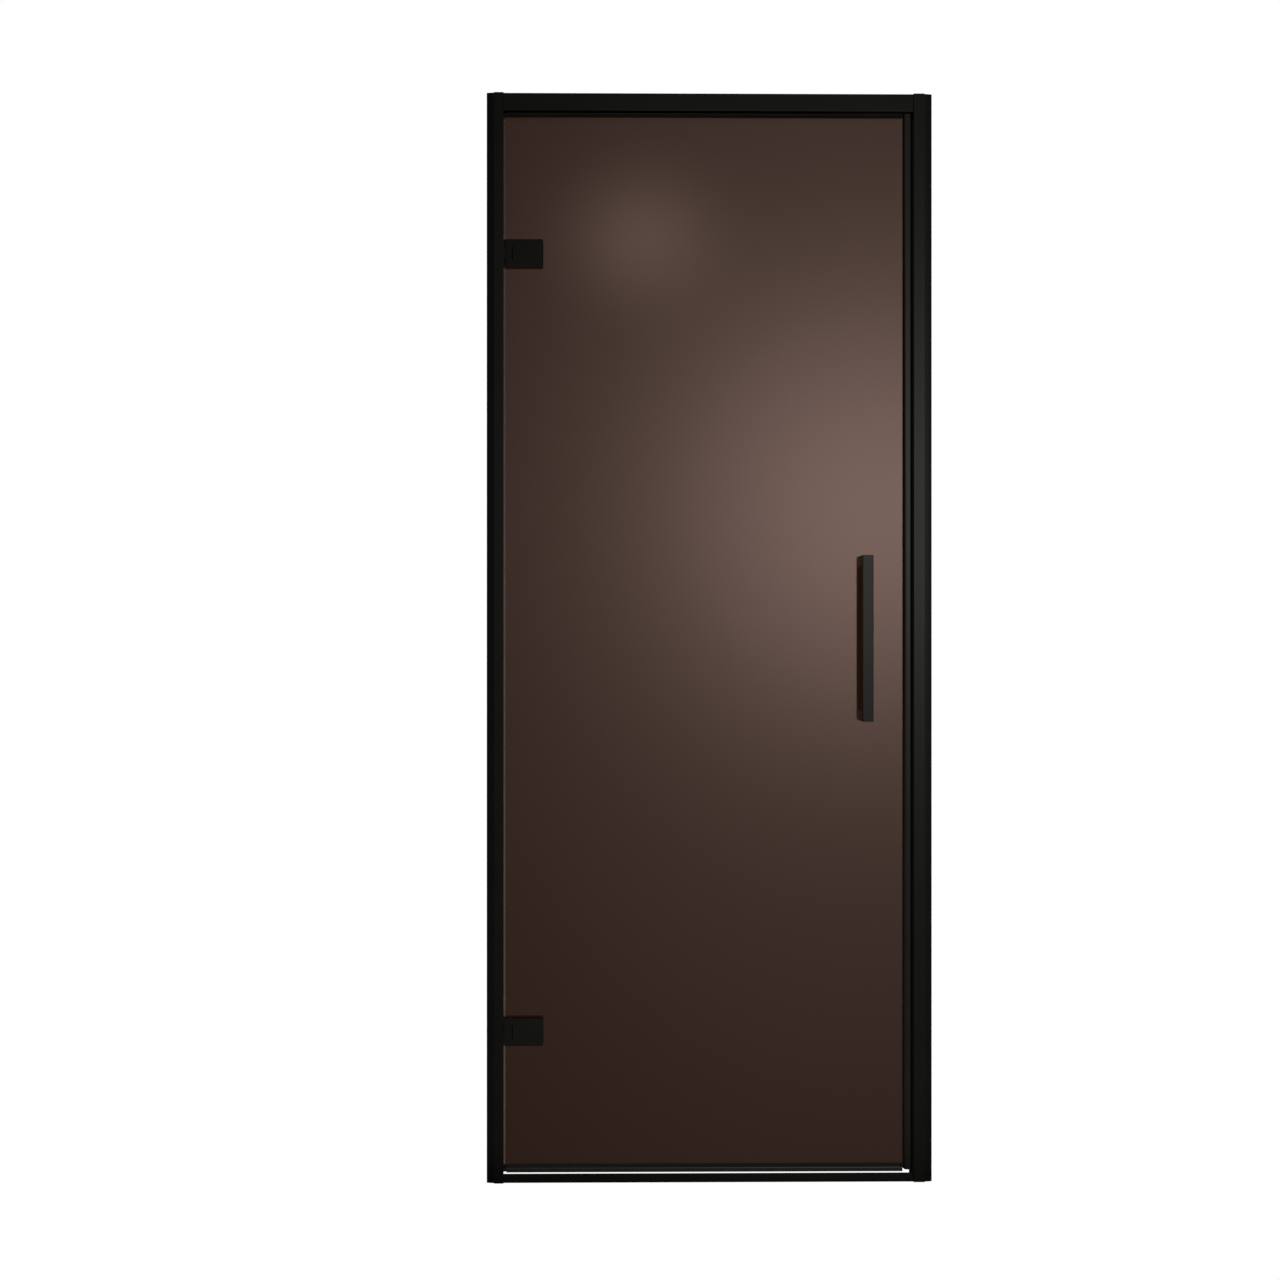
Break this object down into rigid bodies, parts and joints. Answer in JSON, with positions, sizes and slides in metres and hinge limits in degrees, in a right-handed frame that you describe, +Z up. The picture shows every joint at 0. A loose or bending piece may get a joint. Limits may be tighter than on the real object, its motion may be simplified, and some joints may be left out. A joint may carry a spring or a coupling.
{
  "type": "shower door",
  "caption": "Framed hinged shower door for an alcove: tinted glass leaf, slim black frame, plate hinges and flat bar handles.",
  "frame": {"origin": "middle of the flat wall face of the hinge-side wall channel, half way up", "axes": "+X across the opening to the strike-side wall, +Y to the inside of the shower, +Z up; the outside face looks to -Y"},
  "size_m": [0.818, 0.07, 2],
  "materials": {
    "black_frame": "matte black powder coat",
    "black_leaf": "matte black powder coat",
    "black_hinge": "matte black powder coat on steel",
    "black_handle": "satin black powder coat on steel",
    "tinted_glass": "bronze tinted toughened glass",
    "clear_seal": "clear soft plastic",
    "black_rubber": "matte",
    "magnet_strip": "matte",
    "black_plastic": "matte",
    "pin_steel": "ground"
  },
  "bodies": {
    "frame": {"wall_channel_hinge_side": "black_frame", "wall_channel_strike_side": "black_frame", "hinge_jamb": "black_frame", "strike_jamb": "black_frame", "header_rail": "black_frame", "sill_rail": "black_frame", "hinge_side_top_plug": "black_plastic", "strike_side_top_plug": "black_plastic", "strike_magnet_seal": "magnet_strip", "upper_hinge_knuckle": "black_hinge", "lower_hinge_knuckle": "black_hinge"},
    "door": {"strike_stile": "black_leaf", "bottom_rail": "black_leaf", "top_rail": "black_leaf", "upper_hinge_front_plate": "black_hinge", "lower_hinge_front_plate": "black_hinge", "upper_hinge_back_plate": "black_hinge", "lower_hinge_back_plate": "black_hinge", "outer_handle_bar": "black_handle", "inner_handle_bar": "black_handle", "outer_handle_posts": "black_handle", "inner_handle_posts": "black_handle", "glass_pane": "tinted_glass", "hinge_edge_seals": "clear_seal", "drip_sweep": "black_rubber", "upper_hinge_gaskets": "black_rubber", "lower_hinge_gaskets": "black_rubber", "handle_washers": "black_rubber", "leaf_magnet_seal": "magnet_strip", "stile_end_caps": "black_plastic", "upper_hinge_pin": "pin_steel", "lower_hinge_pin": "pin_steel"}
  },
  "joints": [
    {"name": "door_swing", "type": "hinge", "parent": "frame", "child": "door", "pos_m": [0.043, -0.0128, 0], "axis": [0, 0, -1], "range_deg": [0, 90]}
  ]
}
